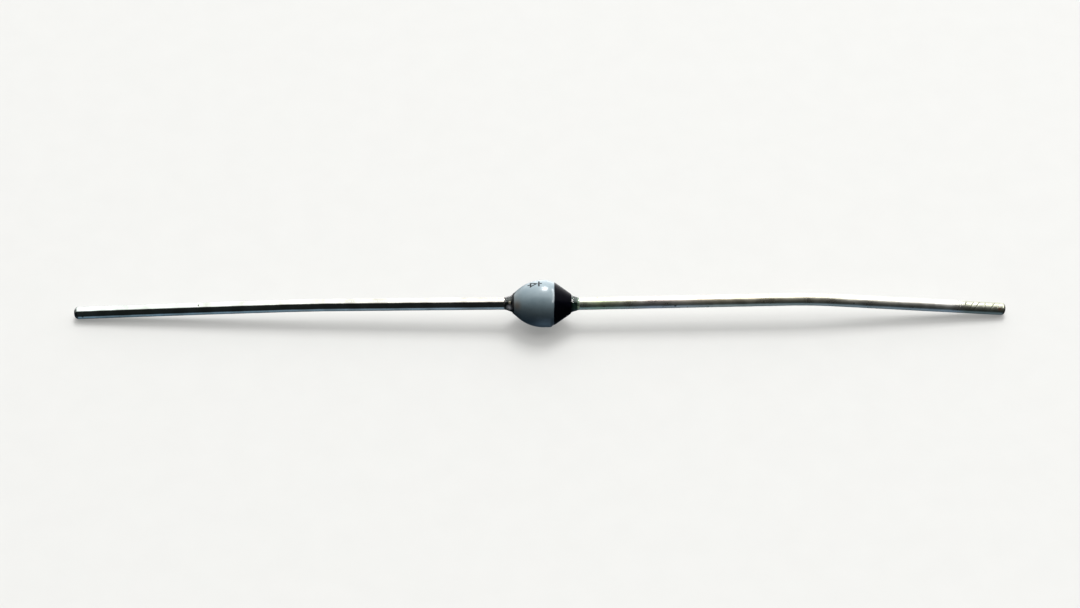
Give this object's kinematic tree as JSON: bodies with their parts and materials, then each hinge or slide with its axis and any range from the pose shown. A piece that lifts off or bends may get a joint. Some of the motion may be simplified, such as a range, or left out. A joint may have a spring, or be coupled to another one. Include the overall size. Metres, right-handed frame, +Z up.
{
  "type": "axial-lead glass-bead diode",
  "caption": "Rectifier diode in a grey-lacquered glass bead with a black cathode band and long, slightly bent tinned wire leads, lying on its bead and lead tips.",
  "frame": {"origin": "on the surface that the diode lies on, straight below the middle of the chip stack inside the bead", "axes": "+X along the bead's axis towards the cathode, +Z up, +Y away from the picture's camera"},
  "size_m": [0.0605, 0.003, 0.0031],
  "materials": {
    "passivation_glass": "fire-polished, faintly green",
    "grey_lacquer": "glossy, slightly uneven lacquer",
    "black_lacquer": "glossy lacquer",
    "tinned_copper": "bright tinned wire, scuffed and rough at the tips",
    "molybdenum": "sintered and ground",
    "aluminium_braze": "as brazed",
    "silicon": "lapped and etched"
  },
  "bodies": {
    "root": {"glass_bead": "passivation_glass", "body_coat": "grey_lacquer", "cathode_band": "black_lacquer", "anode_lead": "tinned_copper", "cathode_lead": "tinned_copper", "anode_slug": "molybdenum", "cathode_slug": "molybdenum", "anode_braze": "aluminium_braze", "cathode_braze": "aluminium_braze", "silicon_die": "silicon"}
  },
  "joints": []
}
